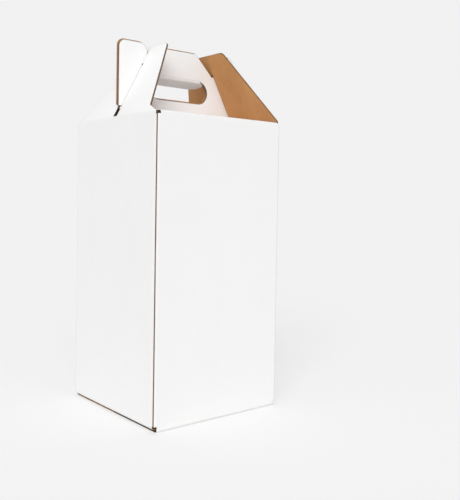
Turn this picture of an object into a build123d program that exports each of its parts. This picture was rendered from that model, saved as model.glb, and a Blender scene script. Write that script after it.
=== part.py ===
from build123d import *
import math
import os

# A corrugated board carrier for four wine bottles, erected and locked as it is carried.
# Millimetres, +Z up, origin on the floor at the middle of the base.
# The front wall faces -Y. The carton is one folded and glued sheet, so it is one solid.

# Outside of the four walls
carton_width = 190.0
carton_depth = 194.0
wall_height = 369.0

# The board and its folds
board = 3.0
fold_radius = 2.0        # middle of the board, at a scored fold
board_gap = 0.2          # air between two boards that lie on each other
flap_inset = 4.0         # from the outside of a wall to the raw side of its flap
fold_run = 1.0           # straight board between a fold and the plain wall

# Bottom flaps and the glued corner
bottom_seam_gap = 1.0
glue_tab_width = 35.0
glue_crush = 0.15        # how far the glued tab is pressed into the front wall

# Roof panels and the two handle panels
roof_rise = 12.0
roof_clearance = 2.0     # between the roof's sides and the end flaps
handle_height = 94.5     # top edge above the walls
handle_inset = 4.0       # from the outside of the walls to the ends of the handle
handle_gap = 1.0         # between the two panels
ear_rise = 4.0           # free lower end of an ear above the ridge
ear_extra = 2.5          # top of an ear above the top edge between the slots
ear_corner_radius = 9.0
ear_slot_radius = 11.0

# Hand hole and its tongue
hole_length = 92.0
hole_height = 28.0
hole_rise = 42.5         # middle of the hole above the walls
tongue_angle = 80.0      # degrees, how far the tongue is pushed back
tongue_clearance = 0.5

# End flaps that lock over the handle
flap_lean = 28.5         # degrees from the vertical
flap_tip_drop = 2.4      # tip of the flap below the top edge of the handle
left_shoulder_inset = 25.0    # from the outside of the walls to the widest point above the fold
left_shoulder_rise = 10.4
right_shoulder_inset = 2.0
right_shoulder_rise = 4.0
flap_top_width = 77.0
flap_corner_radius = 9.0
lock_depth = 26.6        # foot of a handle slot below the top edge of the handle
slit_clearance = 0.5
slot_clearance = 0.5
slot_flare = 9.0         # extra width at the open top of a handle slot

# Partition of two slotted boards
partition_height = 250.0
partition_clearance = 0.5
partition_slot_clearance = 0.25

# Length by which every cut runs past what it cuts
overrun = 20.0

# Places worked out from the sizes above
wall_x = carton_width / 2 - board / 2
wall_y = carton_depth / 2 - board / 2
fold_z = wall_height - board / 2
handle_y = (board + handle_gap) / 2
handle_top_z = wall_height + handle_height
ridge_z = fold_z + roof_rise
ear_base_z = ridge_z + ear_rise
ear_top_z = handle_top_z + ear_extra
inner_flap_z = board + board_gap + board / 2
floor_z = inner_flap_z + board / 2
wall_low_z = inner_flap_z + fold_radius + fold_run
wall_high_z = fold_z - fold_radius - fold_run
hole_z = wall_height + hole_rise
lean = math.radians(flap_lean)
flap_length = (handle_top_z - flap_tip_drop - fold_z) / math.cos(lean)
slot_foot = (handle_top_z - lock_depth - fold_z) / math.cos(lean)
slit_length = slot_foot + slot_clearance


def strip(points, width, plane):
    """A strip of board that follows a folded line and is as wide as width."""
    line = FilletPolyline(*points, radius=fold_radius)
    section = plane * trace(line, board)
    return extrude(section, amount=width / 2, both=True)


def lean_point(along, out):
    """A point in X and Z beside the left end flap: along its slope, and out from its middle."""
    x = -wall_x + along * math.sin(lean) - out * math.cos(lean)
    z = fold_z + along * math.cos(lean) + out * math.sin(lean)
    return (x, z)


def walls():
    """The four walls, closed at the front left corner by a tab glued inside the front wall."""
    tab_y = -wall_y + board - glue_crush
    tab_start_y = tab_y + fold_radius + fold_run
    sheet = [
        (-wall_x, tab_start_y),
        (-wall_x, wall_y),
        (wall_x, wall_y),
        (wall_x, -wall_y),
        (-carton_width / 2, -wall_y),
    ]
    tab = [
        (-wall_x, tab_start_y),
        (-wall_x, tab_y),
        (-carton_width / 2 + board + glue_tab_width, tab_y),
    ]
    height = wall_high_z - wall_low_z
    body = extrude(trace(FilletPolyline(*sheet, radius=fold_radius), board), amount=height)
    body += extrude(trace(FilletPolyline(*tab, radius=fold_radius), board), amount=height)
    return Pos(0, 0, wall_low_z) * body


def outer_bottom_flap():
    """The front wall's bottom flap, one of the two that the carrier stands on."""
    points = [
        (-bottom_seam_gap / 2, board / 2),
        (-wall_y, board / 2),
        (-wall_y, wall_low_z),
    ]
    return strip(points, carton_width - 2 * flap_inset, Plane.YZ)


def inner_bottom_flap():
    """The left wall's bottom flap, which lies on the outer ones."""
    points = [
        (-bottom_seam_gap / 2, inner_flap_z),
        (-wall_x, inner_flap_z),
        (-wall_x, wall_low_z),
    ]
    return strip(points, carton_depth - 2 * flap_inset, Plane.XZ)


def handle_outline():
    """Front view of a handle panel, with the two slots that take the end flaps."""
    half_width = carton_width / 2 - handle_inset
    panel = make_face(
        Polyline(
            (-half_width, ear_base_z),
            (half_width, ear_base_z),
            (half_width, ear_top_z),
            (-half_width, ear_top_z),
            close=True,
        )
    )
    side = board / 2 + slot_clearance
    top = (handle_top_z - fold_z) / math.cos(lean)
    rim = (ear_top_z - fold_z - side * math.sin(lean)) / math.cos(lean)
    tip = rim + overrun
    flared = side + slot_flare * (tip - slot_foot) / (top - slot_foot)
    slot = make_face(
        Polyline(
            lean_point(slot_foot, side),
            lean_point(tip, side),
            lean_point(tip, -flared),
            lean_point(slot_foot, -side),
            close=True,
        )
    )
    panel -= slot
    panel -= mirror(slot, about=Plane.YZ)
    # Between the slots the top edge is lower than the ears.
    middle_half = abs(lean_point(top, 0)[0])
    panel -= Pos(0, handle_top_z + overrun / 2) * Rectangle(2 * middle_half, overrun)
    corners = [v for v in panel.vertices() if abs(v.Y - ear_top_z) < board_gap]
    ends = [v for v in corners if abs(v.X) > half_width - board]
    panel = fillet(ends, ear_corner_radius)
    corners = [v for v in panel.vertices() if abs(v.Y - ear_top_z) < board_gap]
    slot_x = abs(lean_point(rim, side)[0])
    shoulders = [v for v in corners if abs(abs(v.X) - slot_x) < board]
    return fillet(shoulders, ear_slot_radius)


def hole_outline():
    return Pos(0, hole_z) * SlotOverall(hole_length, hole_height)


def roof_and_handle():
    """The front roof panel and the handle panel that stands on its ridge."""
    points = [
        (-wall_y, wall_high_z),
        (-wall_y, fold_z),
        (-handle_y, ridge_z),
        (-handle_y, ear_top_z),
    ]
    blank = strip(points, carton_width - 2 * flap_inset, Plane.YZ)
    # The roof narrows towards the ridge, where the end flaps lean in over it.
    ridge_half = -lean_point(roof_rise / math.cos(lean), -board / 2)[0] - roof_clearance
    side_cut = make_face(
        Polyline(
            (carton_width / 2 - flap_inset, -wall_y + fold_radius + board / 2),
            (ridge_half, -handle_y - board / 2),
            (ridge_half, overrun),
            (carton_width / 2 + overrun, overrun),
            (carton_width / 2 + overrun, -wall_y + fold_radius + board / 2),
            close=True,
        )
    )
    side_cut = extrude(Pos(0, 0, wall_high_z) * side_cut, amount=ear_base_z - wall_high_z)
    blank -= side_cut
    blank -= mirror(side_cut, about=Plane.YZ)
    # Everything above the ears' lower ends is trimmed to the handle's outline.
    field = Pos(0, ear_base_z + overrun + handle_height) * Rectangle(
        carton_width + 2 * overrun, 2 * (overrun + handle_height)
    )
    waste = extrude(Plane.XZ * (field - handle_outline()), amount=wall_y / 2, both=True)
    blank -= waste
    hole = extrude(Plane.XZ * hole_outline(), amount=wall_y / 2, both=True)
    return blank - hole


def tongue():
    """The front panel's piece of the hand hole, folded back from the hole's top edge."""
    top_z = hole_z + hole_height / 2
    fold = Plane(origin=(0, -handle_y, top_z), x_dir=(1, 0, 0), z_dir=(0, -1, 0))
    turned = fold.rotated((tongue_angle, 0, 0))
    outline = Pos(0, -hole_height / 2) * SlotOverall(
        hole_length - 2 * tongue_clearance, hole_height - 2 * tongue_clearance
    )
    plate = extrude(turned * outline, amount=board / 2, both=True)
    straight = hole_length - hole_height
    knuckle = Cylinder(board / 2, straight)
    return plate + Pos(0, -handle_y, top_z) * (Rot(0, 90, 0) * knuckle)


def end_flap(shoulder_inset, shoulder_rise):
    """A left wall's top flap, which leans in and locks over the handle."""
    points = [
        (-wall_x, wall_high_z),
        (-wall_x, fold_z),
        lean_point(flap_length, 0),
    ]
    blank = strip(points, carton_depth, Plane.XZ)
    slope = Plane(
        origin=(-wall_x, 0, fold_z),
        x_dir=(0, 1, 0),
        z_dir=(math.cos(lean), 0, -math.sin(lean)),
    )
    base_half = carton_depth / 2 - flap_inset
    shoulder_half = carton_depth / 2 - shoulder_inset
    outline = make_face(
        Polyline(
            (-base_half, -overrun),
            (base_half, -overrun),
            (base_half, 0),
            (shoulder_half, shoulder_rise),
            (flap_top_width / 2, flap_length),
            (-flap_top_width / 2, flap_length),
            (-shoulder_half, shoulder_rise),
            (-base_half, 0),
            close=True,
        )
    )
    tips = [v for v in outline.vertices() if v.Y > flap_length - board]
    outline = fillet(tips, flap_corner_radius)
    slit_width = 2 * board + handle_gap + 2 * slit_clearance
    slit = Pos(0, slit_length / 2) * Rectangle(slit_width, slit_length)
    field = Rectangle(carton_depth + 2 * overrun, 2 * (flap_length + overrun))
    waste = extrude(slope * (field - outline + slit), amount=board + overrun, both=True)
    return blank - waste


def carton():
    front_top = roof_and_handle()
    left_top = end_flap(left_shoulder_inset, left_shoulder_rise)
    right_top = mirror(end_flap(right_shoulder_inset, right_shoulder_rise), about=Plane.YZ)
    front_bottom = outer_bottom_flap()
    left_bottom = inner_bottom_flap()
    body = walls()
    for piece in (front_bottom, front_top):
        body += piece
        body += mirror(piece, about=Plane.XZ)
    for piece in (left_bottom, mirror(left_bottom, about=Plane.YZ), left_top, right_top):
        body += piece
    return body + tongue()


def partition(length, slot_from_top):
    """One slotted board of the partition, standing in X and Z on the bottom flaps."""
    sheet = Pos(0, floor_z + partition_height / 2) * Rectangle(length, partition_height)
    slot_width = board + 2 * partition_slot_clearance
    slot_height = partition_height / 2 + partition_slot_clearance
    rise = partition_height - slot_height / 2 if slot_from_top else slot_height / 2
    sheet -= Pos(0, floor_z + rise) * Rectangle(slot_width, slot_height)
    return extrude(Plane.XZ * sheet, amount=board / 2, both=True)


inside_width = carton_width - 2 * board - 2 * partition_clearance
inside_depth = carton_depth - 2 * board - 2 * partition_clearance

parts = {
    "carton": carton(),
    "partition_side_to_side": partition(inside_width, slot_from_top=True),
    "partition_front_to_back": Rot(0, 0, 90) * partition(inside_depth, slot_from_top=False),
}

os.makedirs("parts", exist_ok=True)
for name, solid in parts.items():
    export_step(solid, os.path.join("parts", name + ".step"))
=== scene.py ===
import bpy
import bmesh
import math
from mathutils import Matrix, Vector
from mathutils.geometry import delaunay_2d_cdt


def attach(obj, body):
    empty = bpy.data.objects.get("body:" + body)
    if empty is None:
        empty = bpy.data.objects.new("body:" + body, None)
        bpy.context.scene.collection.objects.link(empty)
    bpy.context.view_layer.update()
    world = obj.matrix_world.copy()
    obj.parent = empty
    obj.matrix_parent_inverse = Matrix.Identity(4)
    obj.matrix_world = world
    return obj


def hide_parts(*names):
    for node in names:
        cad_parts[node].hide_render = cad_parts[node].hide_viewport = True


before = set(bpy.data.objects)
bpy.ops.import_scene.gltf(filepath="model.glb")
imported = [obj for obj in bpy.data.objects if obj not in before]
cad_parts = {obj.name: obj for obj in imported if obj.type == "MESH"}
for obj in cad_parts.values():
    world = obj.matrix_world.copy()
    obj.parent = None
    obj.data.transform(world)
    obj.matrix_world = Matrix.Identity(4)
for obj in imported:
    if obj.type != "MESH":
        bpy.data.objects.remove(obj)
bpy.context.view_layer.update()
print("stage: frame loaded")

mm = 0.001
tiny = 1e-6  # mm, two places this close are one
hair = 1e-9  # mm, slack at the start of a run
slack = 1e-4  # mm, slack for points on a row

# Corrugated board: two liners with a wavy medium between them. Lengths are in mm.
boardSettings = {
    "thickness": 3.0,
    "liner": 0.34,
    "foldRadius": 2.0,
    "foldSteps": 8,  # for a right angle
    "foldStepsLeast": 3,
    "foldSupport": 1.0,  # a row of points this far from each fold
    "foldWear": 0.4,
    "arcSteps": 10,
    "coreInset": 2.6,
    "coreSlack": 0.02,
    "pinchRings": (0.8, 2.0),  # rings of points along cut edges
    "pinchFade": (2.0, 6.0),  # rows over which the pinch starts at a seam
    "mitreLimit": 0.5,
    "flutePitch": 6.4,
    "mediumPaper": 0.26,
    "waveSlope": 0.34,  # a cut shows waves when it crosses the flutes by more than this
    "waveShortest": 1.5,  # in flute pitches
    "webLongest": 2.0,  # in flute pitches
    "probeOut": 0.5,
    "probeIn": 0.05,
    "rowOverhang": 10.0,
    "meshTolerance": 1e-5,
    "weldDistance": 2e-6,  # in m
    "sharpAngle": 32.0,
}
thick = boardSettings["thickness"]
half = thick / 2
liner = boardSettings["liner"]
bend = boardSettings["foldRadius"]
support = boardSettings["foldSupport"]
pinchRings = boardSettings["pinchRings"]
flutePitch = boardSettings["flutePitch"]


def clamp(value):
    return min(1.0, max(0.0, value))


def leftOf(arrow):
    return Vector((-arrow.y, arrow.x))


def crossed(a, b):
    return a.x * b.y - a.y * b.x


def turned(arrow, angle):
    return Vector((
        arrow.x * math.cos(angle) - arrow.y * math.sin(angle),
        arrow.x * math.sin(angle) + arrow.y * math.cos(angle),
    ))


def sides(loop):
    return zip(loop, loop[1:] + loop[:1])


# A folded line: straight runs, with an arc at each corner.
def makePath(points, radius):
    runs = []
    points = [Vector(point) for point in points]
    here = points[0]
    start = 0.0
    for i in range(1, len(points)):
        direction = (points[i] - points[i - 1]).normalized()
        turn = 0.0
        cut = 0.0
        if i < len(points) - 1:
            following = (points[i + 1] - points[i]).normalized()
            turn = math.atan2(crossed(direction, following), direction.dot(following))
            cut = radius * math.tan(abs(turn) / 2)
        length = (points[i] - direction * cut - here).length
        runs.append({
            "kind": "line", "start": start, "length": length, "at": here.copy(), "direction": direction,
        })
        start += length
        here = points[i] - direction * cut
        if turn:
            side = math.copysign(1.0, turn)
            runs.append({
                "kind": "arc", "start": start, "length": radius * abs(turn), "direction": direction,
                "centre": here + leftOf(direction) * radius * side, "side": side, "radius": radius,
            })
            start += radius * abs(turn)
            here = points[i] + following * cut
    return runs


def pathPoint(runs, s):
    run = runs[0]
    for candidate in runs:
        if s >= candidate["start"] - hair:
            run = candidate
    along = s - run["start"]
    if run["kind"] == "line":
        return run["at"] + run["direction"] * along, leftOf(run["direction"])
    left = leftOf(turned(run["direction"], run["side"] * along / run["radius"]))
    return run["centre"] - left * run["radius"] * run["side"], left


def pathEnd(runs):
    return runs[-1]["start"] + runs[-1]["length"]


def runOf(runs, index):
    return [run for run in runs if run["kind"] == "line"][index]


def arcsOf(runs):
    return [run for run in runs or () if run["kind"] == "arc"]


def pathRows(runs, low, high):
    rows = []
    for run in arcsOf(runs):
        share = run["length"] / (run["radius"] * math.pi / 2)
        steps = max(boardSettings["foldStepsLeast"], round(boardSettings["foldSteps"] * share))
        rows.append(run["start"] - support)
        rows += [run["start"] + run["length"] * i / steps for i in range(steps + 1)]
        rows.append(run["start"] + run["length"] + support)
    return [row for row in rows if low + tiny < row < high - tiny]


def foldWear(runs, row):
    for run in arcsOf(runs):
        if -slack < row - run["start"] < run["length"] + slack:
            share = clamp((row - run["start"]) / run["length"])
            return boardSettings["foldWear"] * math.sin(math.pi * share) ** 0.5
    return 0.0


def touchesFold(runs, low, high):
    return any(high > run["start"] and low < run["start"] + run["length"] for run in arcsOf(runs))


# Flat outlines, as lists of points. A corner is x, y and a radius.
def roundCorners(corners):
    outline = []
    steps = boardSettings["arcSteps"]
    for i, (x, y, radius) in enumerate(corners):
        here = Vector((x, y))
        if radius <= 0:
            outline.append(here)
            continue
        before = (Vector(corners[i - 1][:2]) - here).normalized()
        after = (Vector(corners[(i + 1) % len(corners)][:2]) - here).normalized()
        opening = before.angle(after)
        cut = radius / math.tan(opening / 2)
        centre = here + (before + after).normalized() * (radius / math.sin(opening / 2))
        first = here + before * cut - centre
        last = here + after * cut - centre
        sweep = math.atan2(crossed(first, last), first.dot(last))
        outline += [centre + turned(first, sweep * k / steps) for k in range(steps + 1)]
    return outline


def mirroredOutline(grid, rightSide):
    leftSide = [(-x, s, radius) for x, s, radius in reversed(rightSide)]
    return roundCorners([(u, 0.0, 0) for u in grid] + rightSide + leftSide)


def obround(length, height, centre):
    radius = height / 2
    straight = length / 2 - radius
    steps = 2 * boardSettings["arcSteps"]
    outline = []
    for side, turn in ((1, -math.pi / 2), (-1, math.pi / 2)):
        for k in range(steps + 1):
            angle = turn + math.pi * k / steps
            outline.append(Vector((
                centre[0] + side * straight + radius * math.cos(angle),
                centre[1] + radius * math.sin(angle),
            )))
    return outline


def inside(loop, x, y):
    hit = False
    for p, q in sides(loop):
        if (p.y > y) != (q.y > y) and x < (q.x - p.x) * (y - p.y) / (q.y - p.y) + p.x:
            hit = not hit
    return hit


# 1 where the board lies on the left of the loop, -1 where it lies on the right.
def boardSide(loop, isHole):
    area = sum(crossed(p, q) for p, q in sides(loop))
    return 1.0 if (area > 0) != isHole else -1.0


def onRow(point, row):
    return row is not None and abs(point.y - row) < tiny


def insetLoop(loop, amount, isHole, keepRow):
    sign = boardSide(loop, isHole)
    result = []
    for i, here in enumerate(loop):
        normalA = leftOf((here - loop[i - 1]).normalized()) * sign
        normalB = leftOf((loop[(i + 1) % len(loop)] - here).normalized()) * sign
        bisector = normalA + normalB
        if bisector.length < tiny:
            bisector = normalA.copy()
        bisector.normalize()
        reach = amount / max(boardSettings["mitreLimit"], bisector.dot(normalA))
        moved = here + bisector * reach
        if onRow(here, keepRow):
            moved.y = here.y
        result.append(moved)
    return result


def edgeDistance(loops, point, keepRow):
    nearest = math.inf
    for loop in loops:
        for a, b in sides(loop):
            if onRow(a, keepRow) and onRow(b, keepRow):
                continue
            span = b - a
            share = clamp((point - a).dot(span) / max(span.length_squared, tiny ** 2))
            nearest = min(nearest, (a + span * share - point).length)
    return nearest


# Board is pinched thin along its cut edges, and not at the seams with the walls.
def pinchAt(distance, row, keepRow):
    share = max(0.0, 1.0 - distance / pinchRings[-1]) ** 2
    if keepRow is not None:
        low, high = boardSettings["pinchFade"]
        share *= clamp((row - keepRow - low) / (high - low))
    return share


def triangulate(loops, rows, rings=()):
    points = []
    edges = []
    for loop in list(loops) + list(rings):
        first = len(points)
        points.extend(loop)
        edges.extend((first + i, first + (i + 1) % len(loop)) for i in range(len(loop)))
    wide = max(abs(point.x) for point in loops[0]) + boardSettings["rowOverhang"]
    for row in rows:
        edges.append((len(points), len(points) + 1))
        points.extend((Vector((-wide, row)), Vector((wide, row))))
    flat, _, faces, _, _, _ = delaunay_2d_cdt(points, edges, [], 0, boardSettings["meshTolerance"])
    kept = []
    for face in faces:
        x = sum(flat[i].x for i in face) / len(face)
        y = sum(flat[i].y for i in face) / len(face)
        if inside(loops[0], x, y) and not any(inside(hole, x, y) for hole in loops[1:]):
            kept.append(tuple(face))
    return flat, kept


# One layer of board. Its materials are top, underside and edge, and a mark is the drop, wear and painted edge
# shade of a point.
def addPlate(bm, flat, faces, place, levels, materials, isSeam, shift, marks=None):
    sheet = bm.loops.layers.uv["sheet"]
    wearLayer = bm.verts.layers.float["wear"]
    cutShadeLayer = bm.verts.layers.float["cutShade"]
    low, high = levels
    lower = {}
    upper = {}
    for i in sorted({i for face in faces for i in face}):
        u, s = flat[i]
        drop, wear, cutShade = marks[i] if marks else (0.0, 0.0, 0.0)
        for level, w in ((lower, low), (upper, high)):
            level[i] = bm.verts.new(place(u, s, w + drop) * mm)
            level[i][wearLayer] = wear
            level[i][cutShadeLayer] = cutShade

    def addFace(corners, material):
        face = bm.faces.new([level[i] for level, i, lift in corners])
        face.material_index = material
        for loop, (level, i, lift) in zip(face.loops, corners):
            loop[sheet].uv = ((flat[i].x + shift[0] + lift) * mm, (flat[i].y + shift[1] + lift) * mm)

    edgeUse = {}
    for face in faces:
        for a, b in sides(face):
            edgeUse.setdefault(frozenset((a, b)), []).append((a, b))
        addFace([(upper, i, 0.0) for i in face], materials[0])
        addFace([(lower, i, 0.0) for i in reversed(face)], materials[1])
    depth = high - low
    for uses in edgeUse.values():
        a, b = uses[0]
        if len(uses) == 1 and not isSeam(flat[a], flat[b]):
            addFace([(upper, b, 0.0), (upper, a, 0.0), (lower, a, depth), (lower, b, depth)], materials[2])


def noSeam(a, b):
    return False


def addLiners(bm, flat, faces, place, papersOf, isSeam, shift, pinch, shares, wears):
    outer, inner, raw = papersOf[:3]
    # The pinch share also sets the painted shade along the cut edges.
    outerMarks = [(-pinch[0] * share, wear, share) for share, wear in zip(shares, wears)]
    innerMarks = [(pinch[1] * share, wear, share) for share, wear in zip(shares, wears)]
    addPlate(bm, flat, faces, place, (half - liner, half), (outer, raw, raw), isSeam, shift, outerMarks)
    addPlate(bm, flat, faces, place, (-half, -half + liner), (raw, inner, raw), isSeam, shift, innerMarks)


def addCore(bm, flat, faces, place, papersOf, shift):
    reach = half - liner - boardSettings["coreSlack"]
    addPlate(bm, flat, faces, place, (-reach, reach), (papersOf[-1],) * 3, noSeam, shift)


# Points on raw edges where a flute or a side web of the medium goes.
def addEdgePoints(found, loop, place, isHole, firstRow, runs, pinch, waveAxis=0):
    board = boardSettings
    sign = boardSide(loop, isHole)
    free = 2 * (half - liner)
    squeeze = (free - pinch[0] - pinch[1]) / free
    offset = (pinch[1] - pinch[0]) / 2
    for first, last in sides(loop):
        length = (last - first).length
        if length < tiny:
            continue
        direction = (last - first) / length
        inward = leftOf(direction) * sign
        across = abs(direction[waveAxis])
        isWave = across > board["waveSlope"] and length > board["waveShortest"] * flutePitch
        step = flutePitch / across if isWave else min(length, board["webLongest"] * flutePitch)
        pieces = max(1, int(length / step + tiny))
        if not isWave:
            step = length / pieces
        for k in range(pieces):
            middle = first + direction * ((length - pieces * step) / 2 + (k + 0.5) * step)
            reach = step / 2 * abs(direction.y)
            if middle.y - reach < firstRow or touchesFold(runs, middle.y - reach, middle.y + reach):
                continue
            spot = place(*middle, offset)
            normal = (place(*middle, board["probeOut"]) - place(*middle, -board["probeOut"])).normalized()
            into = (place(*(middle + inward * board["probeIn"]), offset) - spot).normalized()
            found.append((spot * mm, normal, into, step / flutePitch, squeeze, 0 if isWave else 1))


# A board with its liners, its core and the points of its raw edges. The first loop is its outline.
def addBoard(bm, found, loops, runs, place, keepRow, isSeam, firstRow, papersOf, shift, pinch):
    def inset(amount):
        return [insetLoop(loop, amount, k > 0, keepRow) for k, loop in enumerate(loops)]

    rows = pathRows(runs, min(point.y for point in loops[0]), max(point.y for point in loops[0]))
    rings = [loop for amount in pinchRings for loop in inset(amount)]
    flat, faces = triangulate(loops, rows, rings)
    shares = [pinchAt(edgeDistance(loops, point, keepRow), point.y, keepRow) for point in flat]
    wears = [max(share, foldWear(runs, point.y)) for share, point in zip(shares, flat)]
    addLiners(bm, flat, faces, place, papersOf, isSeam, shift, pinch, shares, wears)
    flat, faces = triangulate(inset(boardSettings["coreInset"]), rows)
    addCore(bm, flat, faces, place, papersOf, shift)
    for k, loop in enumerate(loops):
        addEdgePoints(found, loop, place, k > 0, firstRow, runs, pinch)


def newSheet():
    bm = bmesh.new()
    bm.loops.layers.uv.new("sheet")
    bm.verts.layers.float.new("wear")
    bm.verts.layers.float.new("cutShade")
    return bm


def toMesh(bm, name, sharpAngle):
    bmesh.ops.recalc_face_normals(bm, faces=bm.faces)
    mesh = bpy.data.meshes.new(name)
    bm.to_mesh(mesh)
    bm.free()
    mesh.polygons.foreach_set("use_smooth", [True] * len(mesh.polygons))
    mesh.set_sharp_from_angle(angle=math.radians(sharpAngle))
    return mesh


def addObject(name, data):
    made = bpy.data.objects.new(name, data)
    bpy.context.scene.collection.objects.link(made)
    return made


def finishSheet(bm, name, paperNames):
    bmesh.ops.remove_doubles(bm, verts=bm.verts, dist=boardSettings["weldDistance"])
    mesh = toMesh(bm, name, boardSettings["sharpAngle"])
    for paperName in paperNames:
        mesh.materials.append(papers[paperName])
    return addObject(name, mesh)


# Materials, all from nodes.
def newMaterial(name):
    material = bpy.data.materials.new(name)
    material.use_nodes = True
    nodes = material.node_tree.nodes
    links = material.node_tree.links
    nodes.clear()
    output = nodes.new("ShaderNodeOutputMaterial")
    shader = nodes.new("ShaderNodeBsdfPrincipled")
    links.new(shader.outputs["BSDF"], output.inputs["Surface"])
    return material, nodes, links, shader, output


# Screen colours, 0 to 255, to the linear ones that a shader takes.
def toLinear(rgb):
    return [((v / 255 + 0.055) / 1.055) ** 2.4 if v > 10 else v / 255 / 12.92 for v in rgb] + [1.0]


def grey(value):
    return [value] * 3 + [1.0]


def feed(links, socket, value):
    if isinstance(value, (int, float, list)):
        socket.default_value = value
    else:
        links.new(value, socket)


def addNoise(nodes, links, vector, scale, detail, stretch, location, roughness=0.6):
    mapping = nodes.new("ShaderNodeMapping")
    mapping.inputs["Scale"].default_value = stretch
    mapping.inputs["Location"].default_value = location
    links.new(vector, mapping.inputs["Vector"])
    noise = nodes.new("ShaderNodeTexNoise")
    noise.inputs["Scale"].default_value = scale
    noise.inputs["Detail"].default_value = detail
    noise.inputs["Roughness"].default_value = roughness
    links.new(mapping.outputs["Vector"], noise.inputs["Vector"])
    return noise.outputs["Fac"]


def addRamp(nodes, links, value, low, high, to=(0.0, 1.0)):
    ramp = nodes.new("ShaderNodeMapRange")
    for name, number in (("From Min", low), ("From Max", high), ("To Min", to[0]), ("To Max", to[1])):
        ramp.inputs[name].default_value = number
    links.new(value, ramp.inputs["Value"])
    return ramp.outputs["Result"]


def addMix(nodes, links, factor, a, b):
    mix = nodes.new("ShaderNodeMix")
    mix.data_type = "RGBA"
    for socket, value in ((mix.inputs["Factor"], factor), (mix.inputs[6], a), (mix.inputs[7], b)):
        feed(links, socket, value)  # inputs 6 and 7 and output 2 are the colours
    return mix.outputs[2]


def addMath(nodes, links, operation, *values):
    node = nodes.new("ShaderNodeMath")
    node.operation = operation
    for socket, value in zip(node.inputs, values):
        feed(links, socket, value)
    return node.outputs[0]


# What all papers share. A noise is its scale, detail, stretch and place, and with no scale the paper gives one.
# A ramp is the lowest and highest value that count.
paperSettings = {
    "noises": {
        "wander": (18.0, 2.0, (1, 1, 1), (3, 7, 1)),
        "cloud": (None, 3.0, (1, 0.6, 1), (1, 2, 3)),
        "fibre": (None, 4.0, (1, 0.16, 1), (5, 1, 2)),
        "speck": (None, 2.0, (1, 0.5, 1), (8, 3, 4)),
        "grain": (2600.0, 3.0, (1, 1, 1), (2, 9, 5)),
        "patch": (55.0, 5.0, (1, 1, 1), (4, 6, 2)),
    },
    "ramps": {
        "cloud": (0.3, 0.7), "fibre": (0.32, 0.68), "speck": (0.66, 0.76),
        "patch": (0.38, 0.72), "cutShade": (0.42, 0.92), "wander": (0.0, 0.5),
    },
    "waver": 1.2,  # how far the lines of the flutes stray
}


def paperMaterial(name, look):
    material, nodes, links, shader, _ = newMaterial(name)

    def attribute(label):
        node = nodes.new("ShaderNodeAttribute")
        node.attribute_name = label
        return node

    def noise(label):
        scale, detail, stretch, location = paperSettings["noises"][label]
        return addNoise(nodes, links, sheet, scale or look[label + "Scale"], detail, stretch, location)

    def ramp(label, value):
        return addRamp(nodes, links, value, *paperSettings["ramps"][label])

    def times(a, b):
        return addMath(nodes, links, "MULTIPLY", a, b)

    def plus(a, b):
        return addMath(nodes, links, "ADD", a, b)

    sheet = attribute("sheet").outputs["Vector"]
    split = nodes.new("ShaderNodeSeparateXYZ")
    links.new(sheet, split.inputs["Vector"])
    wander = noise("wander")
    phase = times(split.outputs["X"], 2 * math.pi / (flutePitch * mm))
    wave = addMath(nodes, links, "SINE", plus(phase, times(wander, paperSettings["waver"])))
    flute = addMath(nodes, links, "MULTIPLY_ADD", wave, 0.5, 0.5)  # from 0 to 1
    cloud = ramp("cloud", noise("cloud"))
    fibre = ramp("fibre", noise("fibre"))
    speck = ramp("speck", noise("speck"))
    rubbed = times(attribute("wear").outputs["Fac"], ramp("patch", noise("patch")))
    # Painted shade: a dark line along the cut edges of the liners, broken by the wander noise.
    paintedCutShade = times(ramp("cutShade", attribute("cutShade").outputs["Fac"]), ramp("wander", wander))
    colour = addMix(nodes, links, cloud, toLinear(look["low"]), toLinear(look["high"]))
    layers = (("fibre", fibre), ("flute", flute), ("speck", speck), ("wear", rubbed), ("cutShade", paintedCutShade))
    for label, factor in layers:
        if label in look:
            share = times(factor, look[label + "Share"])
            colour = addMix(nodes, links, share, colour, toLinear(look[label]))
    links.new(colour, shader.inputs["Base Color"])
    links.new(addRamp(nodes, links, fibre, 0.0, 1.0, look["roughness"]), shader.inputs["Roughness"])
    shader.inputs["Specular IOR Level"].default_value = look["specular"]
    height = times(fibre, look["fibreHeight"])
    if "fluteHeight" in look:
        height = plus(times(flute, look["fluteHeight"]), height)
    height = plus(height, times(noise("grain"), look["grainHeight"]))
    bump = nodes.new("ShaderNodeBump")
    bump.inputs["Strength"].default_value = 1.0
    bump.inputs["Distance"].default_value = mm
    links.new(height, bump.inputs["Height"])
    links.new(bump.outputs["Normal"], shader.inputs["Normal"])
    return material


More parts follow.
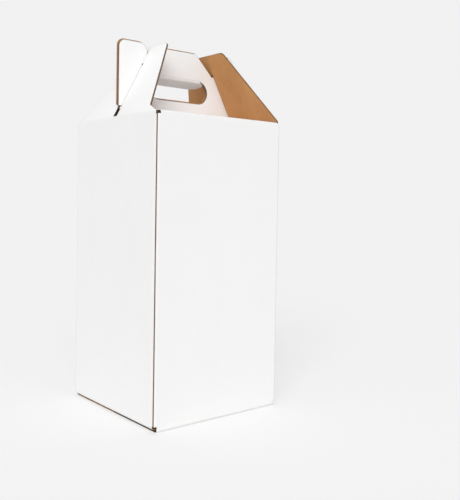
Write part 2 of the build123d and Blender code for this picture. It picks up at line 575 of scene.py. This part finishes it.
cutPaper = {
    "cloudScale": 90.0, "fibreScale": 900.0, "speckScale": 1200.0,
    "fibreShare": 0.4, "speckShare": 0.6, "wearShare": 0.4,
    "roughness": (0.82, 0.95), "specular": 0.15, "fibreHeight": 0.03, "grainHeight": 0.02,
}
# Each liner's darkest colour, laid along its cut edges, is painted shade.
paperLooks = {
    "whiteLiner": {
        "low": (246, 246, 246), "high": (248, 248, 248), "fibre": (243, 242, 241), "flute": (243, 243, 242),
        "speck": (230, 225, 218), "wear": (206, 194, 180), "cutShade": (112, 96, 84),
        "cloudScale": 14.0, "fibreScale": 420.0, "speckScale": 900.0,
        "fibreShare": 0.25, "fluteShare": 0.10, "speckShare": 0.25, "wearShare": 0.55, "cutShadeShare": 0.95,
        "roughness": (0.50, 0.62), "specular": 0.35,
        "fluteHeight": 0.010, "fibreHeight": 0.010, "grainHeight": 0.006,
    },
    "kraftLiner": {
        "low": (190, 134, 84), "high": (208, 153, 99), "fibre": (222, 174, 122), "flute": (174, 120, 72),
        "speck": (124, 82, 48), "wear": (150, 104, 64), "cutShade": (110, 74, 44),
        "cloudScale": 22.0, "fibreScale": 520.0, "speckScale": 800.0,
        "fibreShare": 0.28, "fluteShare": 0.10, "speckShare": 0.45, "wearShare": 0.5, "cutShadeShare": 0.7,
        "roughness": (0.72, 0.88), "specular": 0.25,
        "fluteHeight": 0.020, "fibreHeight": 0.022, "grainHeight": 0.010,
    },
    "rawEdge": {
        **cutPaper, "low": (190, 144, 100), "high": (212, 168, 124), "fibre": (222, 184, 142),
        "speck": (120, 82, 50), "wear": (150, 106, 68), "fibreShare": 0.45,
    },
    # Painted shade: a darker copy of the raw edge, for cut edges that lie in shade.
    "shadedEdge": {
        **cutPaper, "low": (92, 76, 64), "high": (114, 95, 80), "fibre": (128, 108, 92),
        "speck": (64, 50, 40), "wear": (78, 64, 52),
    },
    # The medium's darker brown is partly its own paper and partly painted shade of the holes between the flutes.
    "medium": {
        **cutPaper, "low": (116, 78, 50), "high": (148, 104, 68), "fibre": (162, 118, 80),
        "speck": (76, 48, 30), "wear": (100, 66, 42), "speckShare": 0.5, "wearShare": 0.3,
        "cloudScale": 80.0, "speckScale": 1100.0, "roughness": (0.85, 0.95), "specular": 0.12,
    },
    # The core is a solid sheet for the board's inside, seen deep between the flutes; its darker stripes at the
    # flute pitch are painted shade of the channels.
    "boardCore": {
        **cutPaper, "low": (112, 74, 44), "high": (138, 94, 58), "fibre": (150, 108, 70),
        "flute": (96, 62, 38), "speck": (70, 44, 26), "fluteShare": 0.4, "speckShare": 0.5,
        "cloudScale": 60.0, "fibreScale": 700.0, "speckScale": 900.0,
        "roughness": (0.85, 0.95), "specular": 0.1,
    },
}
papers = {name: paperMaterial(name, look) for name, look in paperLooks.items()}
print("stage: materials made")


# The carton: walls, bottom flaps, roof and handle panels, end flaps and tongue. In mm and degrees.
cartonSettings = {
    "width": 190.0, "depth": 194.0, "wallHeight": 369.0, "boardGap": 0.2, "flapInset": 4.0, "foldRun": 1.0,
    "seamSteps": 14, "seamDigits": 6, "bareRow": 4.0, "diePinch": (0.85, 0.35), "slitPinch": (0.5, 0.3),
    "bottomSeamGap": 1.0, "glueTabWidth": 35.0, "glueCrush": 0.15,
    "roofRise": 12.0, "roofClearance": 2.0, "handleHeight": 94.5, "handleGap": 1.0, "frontDrop": 1.8,
    "earRise": 4.0, "earExtra": 2.5, "earCornerRadius": 9.0, "earSlotRadius": 11.0,
    "holeLength": 92.0, "holeHeight": 28.0, "holeRise": 42.5,
    "tongueAngle": 80.0, "tongueClearance": 0.5, "tongueRadius": 1.6, "tongueRoot": 0.4, "tongueEase": 0.05,
    "flapLean": 28.5, "flapTipDrop": 2.4, "leftShoulder": (25.0, 10.4), "rightShoulder": (2.0, 4.0),
    "flapTopWidth": 77.0, "flapCornerRadius": 9.0, "lockDepth": 26.6, "slitStart": 0.6, "slitClearance": 0.5,
    "slotClearance": 0.5, "slotFlare": 9.0, "slotReach": 20.0,
}
cartonPapers = ("whiteLiner", "kraftLiner", "rawEdge", "boardCore", "shadedEdge")


# Numbers of a board's papers: outside, inside, cut edge and core.
def slotsOf(paperNames, *wanted):
    return [paperNames.index(name) for name in wanted]


tanBoard = slotsOf(cartonPapers, "whiteLiner", "kraftLiner", "rawEdge", "boardCore")
# Painted shade: these boards' cut edges take the darker shadedEdge paper; the walls, front bottom flap, front
# handle panel and left end flap use them.
shadedEdgeBoard = slotsOf(cartonPapers, "whiteLiner", "kraftLiner", "shadedEdge", "boardCore")
box = cartonSettings
diePinch = box["diePinch"]
slitPinch = box["slitPinch"]
wallX = box["width"] / 2 - half
wallY = box["depth"] / 2 - half
foldZ = box["wallHeight"] - half
handleY = (thick + box["handleGap"]) / 2
handleTop = box["wallHeight"] + box["handleHeight"]
ridgeZ = foldZ + box["roofRise"]
earBase = ridgeZ + box["earRise"]
earTop = handleTop + box["earExtra"]
innerFlapZ = thick + half + box["boardGap"]
floorZ = innerFlapZ + half
wallLow = innerFlapZ + bend + box["foldRun"]
wallHigh = foldZ - bend - box["foldRun"]
holeZ = box["wallHeight"] + box["holeRise"]
lean = math.radians(box["flapLean"])
flapLength = (handleTop - box["flapTipDrop"] - foldZ) / math.cos(lean)
slotFoot = (handleTop - box["lockDepth"] - foldZ) / math.cos(lean)
slitLength = slotFoot + box["slotClearance"]
frontHalf = box["width"] / 2 - box["flapInset"]
sideHalf = box["depth"] / 2 - box["flapInset"]


def leanPoint(along, out):
    x = -wallX + along * math.sin(lean) - out * math.cos(lean)
    z = foldZ + along * math.cos(lean) + out * math.sin(lean)
    return x, z


def snap(value):
    return round(value, box["seamDigits"])


# Points along a seam, shared by the wall and the flap that meet there.
def seamGrid(reach, wall):
    steps = box["seamSteps"]
    stops = {snap(-reach + 2 * reach * i / steps) for i in range(steps + 1)}
    for stop in [reach - ring for ring in pinchRings] + [wall - bend - support]:
        stops.update((snap(-stop), snap(stop)))
    return sorted(stops)


frontGrid = seamGrid(frontHalf, wallX)
sideGrid = seamGrid(sideHalf, wallY)
bm = newSheet()
edgePoints = []

# Walls and glue tab, one strip round the corners.
tabY = -wallY + thick - box["glueCrush"]
wallPath = makePath([
    (-box["width"] / 2 + thick + box["glueTabWidth"], tabY), (-wallX, tabY), (-wallX, wallY),
    (wallX, wallY), (wallX, -wallY), (-box["width"] / 2, -wallY),
], bend)
wallEnd = pathEnd(wallPath)
tabFold = snap(runOf(wallPath, 1)["at"].y)
leftGrid = sorted(sideGrid + [tabFold, snap(tabFold + support)])
leftSeamGrid = [stop for stop in leftGrid if stop >= tabFold]
seamSpans = []
wallStops = {0.0, wallEnd}
for index, grid, axis in ((1, leftSeamGrid, 1), (2, frontGrid, 0), (3, sideGrid, 1), (4, frontGrid, 0)):
    run = runOf(wallPath, index)
    sign = 1.0 if run["direction"][axis] > 0 else -1.0
    stops = [run["start"] + sign * (stop - run["at"][axis]) for stop in grid]
    wallStops.update(stops)
    seamSpans.append((min(stops), max(stops)))
wallStops.update(pathRows(wallPath, 0.0, wallEnd))
for ring in pinchRings:
    wallStops.update((ring, wallEnd - ring))
wallStops = sorted(wallStops)
wallStops = [s for i, s in enumerate(wallStops) if i == 0 or s - wallStops[i - 1] > slack]


def wallPlace(s, z, w):
    point, left = pathPoint(wallPath, s)
    return Vector((point.x + left.x * w, point.y + left.y * w, z))


def wallSeam(a, b):
    if abs(a.y - b.y) > tiny:
        return False
    middle = (a.x + b.x) / 2
    return any(low < middle < high for low, high in seamSpans)


wallFlat = [Vector((s, z)) for z in (wallLow, wallHigh) for s in wallStops]
count = len(wallStops)
wallFaces = [(i, i + 1, count + i + 1, count + i) for i in range(count - 1)]
wallShares = [pinchAt(min(point.x, wallEnd - point.x), 0.0, None) for point in wallFlat]
wallWears = [max(share, foldWear(wallPath, point.x)) for share, point in zip(wallShares, wallFlat)]
addLiners(bm, wallFlat, wallFaces, wallPlace, shadedEdgeBoard, wallSeam, (0, 0), diePinch, wallShares, wallWears)
coreInset = boardSettings["coreInset"]
coreSlack = boardSettings["coreSlack"]
coreFlat = [
    Vector((min(max(s, coreInset), wallEnd - coreInset), z))
    for z in (wallLow + coreSlack, wallHigh - coreSlack) for s in wallStops
]
coreFaces = [face for face in wallFaces if coreFlat[face[1]].x - coreFlat[face[0]].x > tiny]
addCore(bm, coreFlat, coreFaces, wallPlace, shadedEdgeBoard, (0, 0))

# The wall's rows run along its folded line, so here the waves are on the other axis.
wallCorners = ((wallLow, 0.0), (wallLow, wallEnd), (wallHigh, wallEnd), (wallHigh, 0.0))
addEdgePoints(
    edgePoints, [Vector(corner) for corner in wallCorners], lambda z, s, w: wallPlace(s, z, w),
    False, -math.inf, wallPath, diePinch, 1,
)


# Each flap is drawn flat, with its rows along the folded line, and may be mirrored to the other side.
def stripPlace(runs, plane, side, mirrored):
    def place(u, s, w):
        point, left = pathPoint(runs, s)
        out, height = point + left * w * side
        if mirrored:
            out = -out
        return Vector((u, out, height)) if plane == "YZ" else Vector((out, u, height))
    return place


def startSeam(a, b):
    return onRow(a, 0.0) and onRow(b, 0.0)


# The left wall bends to its glue tab before the front corner, where the flap's fold has no wall beside it.
def leftSeam(a, b):
    return startSeam(a, b) and min(a.x, b.x) > tabFold - tiny


# The shift gives each flap its own part of the paper's pattern.
def addFlap(loops, runs, plane, side, shift, pinch, mirrored, papersOf, isSeam=startSeam):
    place = stripPlace(runs, plane, side, mirrored)
    addBoard(bm, edgePoints, loops, runs, place, 0.0, isSeam, box["bareRow"], papersOf, shift, pinch)


# Bottom flaps.
bottomEnd = -box["bottomSeamGap"] / 2
outerPath = makePath([(-wallY, wallLow), (-wallY, half), (bottomEnd, half)], bend)
outerLoop = mirroredOutline(frontGrid, [(frontHalf, pathEnd(outerPath), 0)])
# The front flap's cut edges are painted in shade, and the back flap's stay tan.
addFlap([outerLoop], outerPath, "YZ", -1.0, (0, -400), slitPinch, False, shadedEdgeBoard)
addFlap([outerLoop], outerPath, "YZ", -1.0, (0, -600), slitPinch, True, tanBoard)
innerPath = makePath([(-wallX, wallLow), (-wallX, innerFlapZ), (bottomEnd, innerFlapZ)], bend)
innerTip = [(sideHalf, pathEnd(innerPath), 0)]
leftLoop = mirroredOutline(leftGrid, innerTip)
rightLoop = mirroredOutline(sideGrid, innerTip)
addFlap([leftLoop], innerPath, "XZ", -1.0, (300, -400), slitPinch, False, tanBoard, leftSeam)
addFlap([rightLoop], innerPath, "XZ", -1.0, (300, -600), slitPinch, True, tanBoard)

# Roof and handle panels.
topPath = makePath([(-wallY, wallHigh), (-wallY, foldZ), (-handleY, ridgeZ), (-handleY, earTop)], bend)
roofRun = runOf(topPath, 1)
handleRun = runOf(topPath, 2)


def roofRow(y):
    return roofRun["start"] + (y - roofRun["at"].x) / roofRun["direction"].x


def handleRow(z):
    return handleRun["start"] + z - handleRun["at"].y


ridgeHalf = -leanPoint(box["roofRise"] / math.cos(lean), -half)[0] - box["roofClearance"]
slotSide = half + box["slotClearance"]
slotTop = (handleTop - foldZ) / math.cos(lean)
earRim = (earTop - foldZ - slotSide * math.sin(lean)) / math.cos(lean)
slotTip = earRim + box["slotReach"]
slotFlared = slotSide + box["slotFlare"] * (slotTip - slotFoot) / (slotTop - slotFoot)
earInner = leanPoint(earRim, slotSide)
footOuter = leanPoint(slotFoot, slotSide)
footInner = leanPoint(slotFoot, -slotSide)
tipInner = leanPoint(slotTip, -slotFlared)
rimShare = (handleTop - footInner[1]) / (tipInner[1] - footInner[1])
rimInner = footInner[0] + (tipInner[0] - footInner[0]) * rimShare


# The front panel sits a little lower than the back one, which then shows as a brown line.
def topLoops(drop):
    outline = mirroredOutline(frontGrid, [
        (frontHalf, roofRow(-wallY + bend + half), 0),
        (ridgeHalf, roofRow(-handleY - half), 0),
        (ridgeHalf, handleRow(earBase) - drop, 0),
        (frontHalf, handleRow(earBase) - drop, 0),
        (frontHalf, handleRow(earTop) - drop, box["earCornerRadius"]),
        (-earInner[0], handleRow(earTop) - drop, box["earSlotRadius"]),
        (-footOuter[0], handleRow(footOuter[1]) - drop, 0),
        (-footInner[0], handleRow(footInner[1]) - drop, 0),
        (-rimInner, handleRow(handleTop) - drop, 0),
    ])
    hole = obround(box["holeLength"], box["holeHeight"] + drop, (0.0, handleRow(holeZ) - drop / 2))
    return [outline, hole]


addFlap(topLoops(box["frontDrop"]), topPath, "YZ", 1.0, (0, 800), diePinch, False, shadedEdgeBoard)
addFlap(topLoops(0.0), topPath, "YZ", 1.0, (0, 1200), diePinch, True, tanBoard)

# End flaps, with the slit that the handle panels stand in.
flapPath = makePath([(-wallX, wallHigh), (-wallX, foldZ), leanPoint(flapLength, 0.0)], bend)
flapStart = runOf(flapPath, 1)["start"]
flapCut = bend * math.tan(lean / 2)
slitHalf = thick + box["handleGap"] / 2 + box["slitClearance"]


def flapRow(along):
    return flapStart + along - flapCut


def flapLoops(grid, shoulder):
    outline = mirroredOutline(grid, [
        (sideHalf, flapRow(0.0), 0),
        (box["depth"] / 2 - shoulder[0], flapRow(shoulder[1]), 0),
        (box["flapTopWidth"] / 2, flapRow(flapLength), box["flapCornerRadius"]),
    ])
    low = flapRow(box["slitStart"])
    high = flapRow(slitLength)
    slit = ((-slitHalf, low), (slitHalf, low), (slitHalf, high), (-slitHalf, high))
    return [outline, [Vector(corner) for corner in slit]]


leftLoops = flapLoops(leftGrid, box["leftShoulder"])
rightLoops = flapLoops(sideGrid, box["rightShoulder"])
addFlap(leftLoops, flapPath, "XZ", 1.0, (300, 800), diePinch, False, shadedEdgeBoard, leftSeam)
addFlap(rightLoops, flapPath, "XZ", 1.0, (300, 1200), diePinch, True, tanBoard)

# Tongue of the hand hole, pushed back from the hole's top edge of the front panel.
tongueTurn = math.radians(box["tongueAngle"])
tongueGap = box["tongueClearance"]
tongueRoot = box["tongueRoot"]
holeTop = holeZ + box["holeHeight"] / 2
tongueBend = holeTop - (box["tongueRadius"] * math.tan(tongueTurn / 2) + box["tongueEase"])
tongueReach = box["holeHeight"] - tongueGap
tonguePath = makePath([
    (-handleY, holeTop + tongueRoot),
    (-handleY, tongueBend),
    (-handleY + tongueReach * math.sin(tongueTurn), tongueBend - tongueReach * math.cos(tongueTurn)),
], box["tongueRadius"])
tongueStraight = (box["holeLength"] - box["holeHeight"]) / 2
tongueFull = obround(
    box["holeLength"] - 2 * tongueGap, box["holeHeight"] - 2 * tongueGap,
    (0.0, box["holeHeight"] / 2 + tongueRoot),
)
tongueLow = min(point.y for point in tongueFull)
tongueEnds = [point for point in tongueFull if point.y > tongueLow + slack or abs(point.x) > tongueStraight]
tongueLoop = [Vector((-tongueStraight, 0.0)), Vector((tongueStraight, 0.0))] + tongueEnds
addFlap([tongueLoop], tonguePath, "YZ", -1.0, (0, 1000), diePinch, False, tanBoard, noSeam)

carton = finishSheet(bm, "cartonSheet", cartonPapers)
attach(carton, "root")
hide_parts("carton")
print("stage: carton sheet made", len(carton.data.polygons), "faces")


# Partition: two slotted boards that cross in half-height slots.
partitionSettings = {"height": 250.0, "clearance": 0.5, "slotClearance": 0.25}
partitionPapers = ("kraftLiner", "rawEdge", "boardCore")
plainBoard = slotsOf(partitionPapers, "kraftLiner", "kraftLiner", "rawEdge", "boardCore")


def addPartition(name, node, length, fromTop, alongX, shift):
    sheetBm = newSheet()
    points = []
    low = floorZ
    high = floorZ + partitionSettings["height"]
    slotHalf = half + partitionSettings["slotClearance"]
    slotDepth = partitionSettings["height"] / 2 + partitionSettings["slotClearance"]
    end = length / 2
    if fromTop:
        corners = [
            (-end, low), (end, low), (end, high), (slotHalf, high), (slotHalf, high - slotDepth),
            (-slotHalf, high - slotDepth), (-slotHalf, high), (-end, high),
        ]
    else:
        corners = [
            (-end, low), (-slotHalf, low), (-slotHalf, low + slotDepth), (slotHalf, low + slotDepth),
            (slotHalf, low), (end, low), (end, high), (-end, high),
        ]

    def place(u, s, w):
        return Vector((u, w, s)) if alongX else Vector((w, u, s))

    loop = [Vector(corner) for corner in corners]
    addBoard(sheetBm, points, [loop], None, place, None, noSeam, -math.inf, plainBoard, shift, slitPinch)
    piece = finishSheet(sheetBm, name, partitionPapers)
    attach(piece, "root")
    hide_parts(node)
    return points


boardsAndGaps = 2 * thick + 2 * partitionSettings["clearance"]
insideWidth = box["width"] - boardsAndGaps
insideDepth = box["depth"] - boardsAndGaps
crossPoints = addPartition("partitionAcross", "partition_side_to_side", insideWidth, True, True, (500, 0))
crossPoints += addPartition("partitionDeep", "partition_front_to_back", insideDepth, False, False, (900, 0))
print("stage: partition made")


# The wavy medium at raw edges: one flute per point, or a side web where the cut runs along the flutes.
fluteSettings = {
    "steps": 10, "depth": 2.5, "recess": 0.12, "webSteps": 6, "webRecess": 0.25, "webSwing": 0.9,
    "sharpAngle": 40.0, "sizeSpread": 0.10, "turnSpread": 0.012, "seed": 7,
}


# A ribbon from rings of four corners each.
def ribbonObject(name, profile):
    ribbon = bmesh.new()
    rings = [[ribbon.verts.new(Vector(corner) * mm) for corner in ring] for ring in profile]
    for ring, following in zip(rings, rings[1:]):
        for (a, b), (c, d) in zip(sides(ring), sides(following)):
            ribbon.faces.new([a, b, d, c])
    ribbon.faces.new(rings[0])
    ribbon.faces.new(list(reversed(rings[-1])))
    return bpy.data.objects.new(name, toMesh(ribbon, name, fluteSettings["sharpAngle"]))


def fluteProfile():
    steps = fluteSettings["steps"]
    front = fluteSettings["recess"]
    back = front + fluteSettings["depth"]
    paper = boardSettings["mediumPaper"] / 2
    swing = half - liner - paper
    rings = []
    for i in range(steps + 1):
        x = flutePitch * (i / steps - 0.5)
        angle = 2 * math.pi * i / steps
        z = swing * math.sin(angle)
        slope = math.atan(swing * math.cos(angle) * 2 * math.pi / flutePitch)
        dx = -paper * math.sin(slope)
        dz = paper * math.cos(slope)
        rings.append([
            (x + dx, front, z + dz), (x - dx, front, z - dz), (x - dx, back, z - dz), (x + dx, back, z + dz),
        ])
    return rings


def webProfile():
    steps = fluteSettings["webSteps"]
    top = half - liner
    end = flutePitch / 2
    rings = []
    for i in range(steps + 1):
        share = i / steps
        z = -top + 2 * top * share
        front = fluteSettings["webRecess"] + fluteSettings["webSwing"] * (0.5 - 0.5 * math.cos(math.pi * share))
        back = front + 2 * boardSettings["mediumPaper"]
        rings.append([(-end, front, z), (end, front, z), (end, back, z), (-end, back, z)])
    return rings


def fluteTree():
    tree = bpy.data.node_groups.new("fluteRow", "GeometryNodeTree")
    inputs = {
        "Geometry": "Geometry", "Flute": "Object", "Web": "Object", "Size Spread": "Float",
        "Turn Spread": "Float", "Seed": "Int", "Material": "Material",
    }
    for label, kind in inputs.items():
        tree.interface.new_socket(label, in_out="INPUT", socket_type="NodeSocket" + kind)
    tree.interface.new_socket("Geometry", in_out="OUTPUT", socket_type="NodeSocketGeometry")
    nodes = tree.nodes
    links = tree.links
    source = nodes.new("NodeGroupInput")
    result = nodes.new("NodeGroupOutput")

    def named(name, kind):
        node = nodes.new("GeometryNodeInputNamedAttribute")
        node.data_type = kind
        node.inputs["Name"].default_value = name
        return node.outputs["Attribute"]

    def aligned(axis, pivot, vector):
        node = nodes.new("FunctionNodeAlignRotationToVector")
        node.axis = axis
        node.pivot_axis = pivot
        links.new(vector, node.inputs["Vector"])
        return node

    def randomFrom(low, high):
        node = nodes.new("FunctionNodeRandomValue")
        node.data_type = "FLOAT"
        feed(links, node.inputs[2], low)
        feed(links, node.inputs[3], high)
        links.new(source.outputs["Seed"], node.inputs["Seed"])
        return node.outputs[1]

    # Each flute points into its board, with its height across the board.
    inwards = aligned("Y", "AUTO", named("into", "FLOAT_VECTOR"))
    upright = aligned("Z", "Y", named("normal", "FLOAT_VECTOR"))
    links.new(inwards.outputs["Rotation"], upright.inputs["Rotation"])
    spread = source.outputs["Turn Spread"]
    spin = nodes.new("ShaderNodeCombineXYZ")
    links.new(randomFrom(addMath(nodes, links, "MULTIPLY", spread, -1.0), spread), spin.inputs["Z"])
    euler = nodes.new("FunctionNodeEulerToRotation")
    links.new(spin.outputs[0], euler.inputs[0])
    rotate = nodes.new("FunctionNodeRotateRotation")
    rotate.rotation_space = "LOCAL"
    links.new(upright.outputs["Rotation"], rotate.inputs["Rotation"])
    links.new(euler.outputs[0], rotate.inputs["Rotate By"])
    size = randomFrom(addMath(nodes, links, "SUBTRACT", 1.0, source.outputs["Size Spread"]), 1.0)
    scale = nodes.new("ShaderNodeCombineXYZ")
    links.new(named("stretch", "FLOAT"), scale.inputs["X"])
    scale.inputs["Y"].default_value = 1.0
    links.new(addMath(nodes, links, "MULTIPLY", size, named("squeeze", "FLOAT")), scale.inputs["Z"])
    joined = nodes.new("GeometryNodeJoinGeometry")
    for kind, label in enumerate(("Flute", "Web")):
        info = nodes.new("GeometryNodeObjectInfo")
        info.inputs["As Instance"].default_value = True
        links.new(source.outputs[label], info.inputs["Object"])
        compare = nodes.new("FunctionNodeCompare")
        compare.data_type = "INT"
        compare.operation = "EQUAL"
        links.new(named("kind", "INT"), compare.inputs[2])
        compare.inputs[3].default_value = kind
        instances = nodes.new("GeometryNodeInstanceOnPoints")
        links.new(source.outputs["Geometry"], instances.inputs["Points"])
        links.new(compare.outputs[0], instances.inputs["Selection"])
        links.new(info.outputs["Geometry"], instances.inputs["Instance"])
        links.new(rotate.outputs[0], instances.inputs["Rotation"])
        links.new(scale.outputs[0], instances.inputs["Scale"])
        links.new(instances.outputs["Instances"], joined.inputs[0])
    realize = nodes.new("GeometryNodeRealizeInstances")
    links.new(joined.outputs[0], realize.inputs[0])
    setMaterial = nodes.new("GeometryNodeSetMaterial")
    links.new(realize.outputs[0], setMaterial.inputs["Geometry"])
    links.new(source.outputs["Material"], setMaterial.inputs["Material"])
    links.new(setMaterial.outputs["Geometry"], result.inputs[0])
    return tree


fluteObject = ribbonObject("flute", fluteProfile())
webObject = ribbonObject("sideWeb", webProfile())
fluteGroup = fluteTree()
sockets = {item.name: item.identifier for item in fluteGroup.interface.items_tree if item.in_out == "INPUT"}


def addFlutes(name, points):
    spots, normals, intos, stretches, squeezes, kinds = zip(*points)
    mesh = bpy.data.meshes.new(name + "Points")
    mesh.from_pydata(spots, [], [])
    for key, vectors in (("normal", normals), ("into", intos)):
        layer = mesh.attributes.new(key, "FLOAT_VECTOR", "POINT")
        layer.data.foreach_set("vector", [value for vector in vectors for value in vector])
    columns = (("stretch", "FLOAT", stretches), ("squeeze", "FLOAT", squeezes), ("kind", "INT", kinds))
    for key, kind, values in columns:
        mesh.attributes.new(key, kind, "POINT").data.foreach_set("value", values)
    maker = addObject(name + "Maker", mesh)
    modifier = maker.modifiers.new("flutes", "NODES")
    modifier.node_group = fluteGroup
    inputs = {
        "Flute": fluteObject, "Web": webObject, "Size Spread": fluteSettings["sizeSpread"],
        "Turn Spread": fluteSettings["turnSpread"], "Seed": fluteSettings["seed"], "Material": papers["medium"],
    }
    for label, value in inputs.items():
        modifier[sockets[label]] = value
    bpy.context.view_layer.update()
    graph = bpy.context.evaluated_depsgraph_get()
    made = bpy.data.meshes.new_from_object(maker.evaluated_get(graph), depsgraph=graph)
    bpy.data.objects.remove(maker)
    made.name = name
    layer = made.attributes.new("sheet", "FLOAT_VECTOR", "POINT")
    layer.data.foreach_set("vector", [value for vertex in made.vertices for value in vertex.co])
    piece = addObject(name, made)
    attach(piece, "root")
    return len(made.polygons)


fluteFaces = addFlutes("cartonFlutes", edgePoints)
fluteFaces += addFlutes("partitionFlutes", crossPoints)
bpy.data.objects.remove(fluteObject)
bpy.data.objects.remove(webObject)
print("stage: flutes made", len(edgePoints) + len(crossPoints), "of them,", fluteFaces, "faces")


# Camera, as fitted to the photo. Metres and degrees, and pixels for the last three.
cameraSettings = {
    "position": (-0.52403, -0.74450, 0.26999), "heading": 39.648, "pitch": -1.668, "roll": 0.970,
    "sensor": 36.0, "clip": (0.01, 50.0), "focal": 685.26, "height": 500.0, "middleRow": 218.30,
}
heading = math.radians(cameraSettings["heading"])
pitch = math.radians(cameraSettings["pitch"])
roll = math.radians(cameraSettings["roll"])
frameHeight = cameraSettings["height"]
forward = Vector((
    math.sin(heading) * math.cos(pitch), math.cos(heading) * math.cos(pitch), math.sin(pitch),
))
level = Vector((math.cos(heading), -math.sin(heading), 0.0))
upward = level.cross(forward)
right = level * math.cos(roll) + upward * math.sin(roll)
top = upward * math.cos(roll) - level * math.sin(roll)
cameraData = bpy.data.cameras.new("camera")
cameraData.sensor_fit = "VERTICAL"
cameraData.sensor_height = cameraSettings["sensor"]
cameraData.lens = cameraSettings["focal"] * cameraSettings["sensor"] / frameHeight
cameraData.shift_y = (cameraSettings["middleRow"] - frameHeight / 2) / frameHeight
cameraData.clip_start, cameraData.clip_end = cameraSettings["clip"]
camera = addObject("camera", cameraData)
stance = Matrix((right, top, -forward)).transposed().to_4x4()
stance.translation = cameraSettings["position"]
camera.matrix_world = stance
bpy.context.scene.camera = camera


# Floor, light and background.
studioSettings = {
    "background": 0.884, "dome": 0.52, "sun": 1.69, "sunAngle": 40.0, "sunTo": (0.55, 0.591, -0.589),
    "floorRadius": 9.0, "floorSides": 96, "floorLow": 0.915, "floorHigh": 0.925, "floorRoughness": 0.9,
    "mottleScale": 3.0, "mottleDetail": 3.0, "glow": 1.0, "glowShare": 0.5,
}


# 1 where the camera, a reflection or glass looks, and 0 for the light that falls on the carton.
def addSeen(nodes, links):
    path = nodes.new("ShaderNodeLightPath")
    seen = path.outputs["Is Camera Ray"]
    for rayName in ("Is Glossy Ray", "Is Transmission Ray"):
        seen = addMath(nodes, links, "MAXIMUM", seen, path.outputs[rayName])
    return seen


floorBm = bmesh.new()
bmesh.ops.create_circle(
    floorBm, cap_ends=True, radius=studioSettings["floorRadius"], segments=studioSettings["floorSides"],
)
floorMesh = bpy.data.meshes.new("floor")
floorBm.to_mesh(floorMesh)
floorBm.free()
floor = addObject("floor", floorMesh)
floorMaterial, floorNodes, floorLinks, floorShader, floorOutput = newMaterial("floorPaper")
coordinates = floorNodes.new("ShaderNodeTexCoord")
mottle = addNoise(
    floorNodes, floorLinks, coordinates.outputs["Object"], studioSettings["mottleScale"],
    studioSettings["mottleDetail"], (1, 1, 1), (0, 0, 0),
)
floorShades = [grey(studioSettings[name]) for name in ("floorLow", "floorHigh")]
floorLinks.new(addMix(floorNodes, floorLinks, mottle, *floorShades), floorShader.inputs["Base Color"])
floorShader.inputs["Roughness"].default_value = studioSettings["floorRoughness"]
floorShader.inputs["Specular IOR Level"].default_value = 0.0
glow = floorNodes.new("ShaderNodeEmission")
glow.inputs["Color"].default_value = grey(studioSettings["glow"])
glow.inputs["Strength"].default_value = 1.0
floorSeen = addSeen(floorNodes, floorLinks)
glowPart = addMath(floorNodes, floorLinks, "MULTIPLY", floorSeen, studioSettings["glowShare"])
floorMix = floorNodes.new("ShaderNodeMixShader")
for socket, value in zip(floorMix.inputs, (glowPart, floorShader.outputs[0], glow.outputs[0])):
    floorLinks.new(value, socket)
floorLinks.new(floorMix.outputs[0], floorOutput.inputs["Surface"])
floorMesh.materials.append(floorMaterial)

world = bpy.data.worlds.new("studio")
bpy.context.scene.world = world
world.use_nodes = True
worldNodes = world.node_tree.nodes
worldLinks = world.node_tree.links
worldNodes.clear()
worldOutput = worldNodes.new("ShaderNodeOutputWorld")
dome = worldNodes.new("ShaderNodeBackground")
dome.inputs["Color"].default_value = grey(1.0)
dome.inputs["Strength"].default_value = studioSettings["dome"]
backdrop = worldNodes.new("ShaderNodeBackground")
backdrop.inputs["Color"].default_value = grey(studioSettings["background"])
backdrop.inputs["Strength"].default_value = 1.0
chooser = worldNodes.new("ShaderNodeMixShader")
worldSeen = addSeen(worldNodes, worldLinks)
for socket, value in zip(chooser.inputs, (worldSeen, dome.outputs[0], backdrop.outputs[0])):
    worldLinks.new(value, socket)
worldLinks.new(chooser.outputs[0], worldOutput.inputs["Surface"])

sunData = bpy.data.lights.new("softKey", "SUN")
sunData.energy = studioSettings["sun"]
sunData.angle = math.radians(studioSettings["sunAngle"])
sun = addObject("softKey", sunData)
sun.matrix_world = Vector(studioSettings["sunTo"]).to_track_quat("-Z", "Y").to_matrix().to_4x4()
bpy.context.scene.view_settings.view_transform = "Standard"
print("stage: camera and studio made")
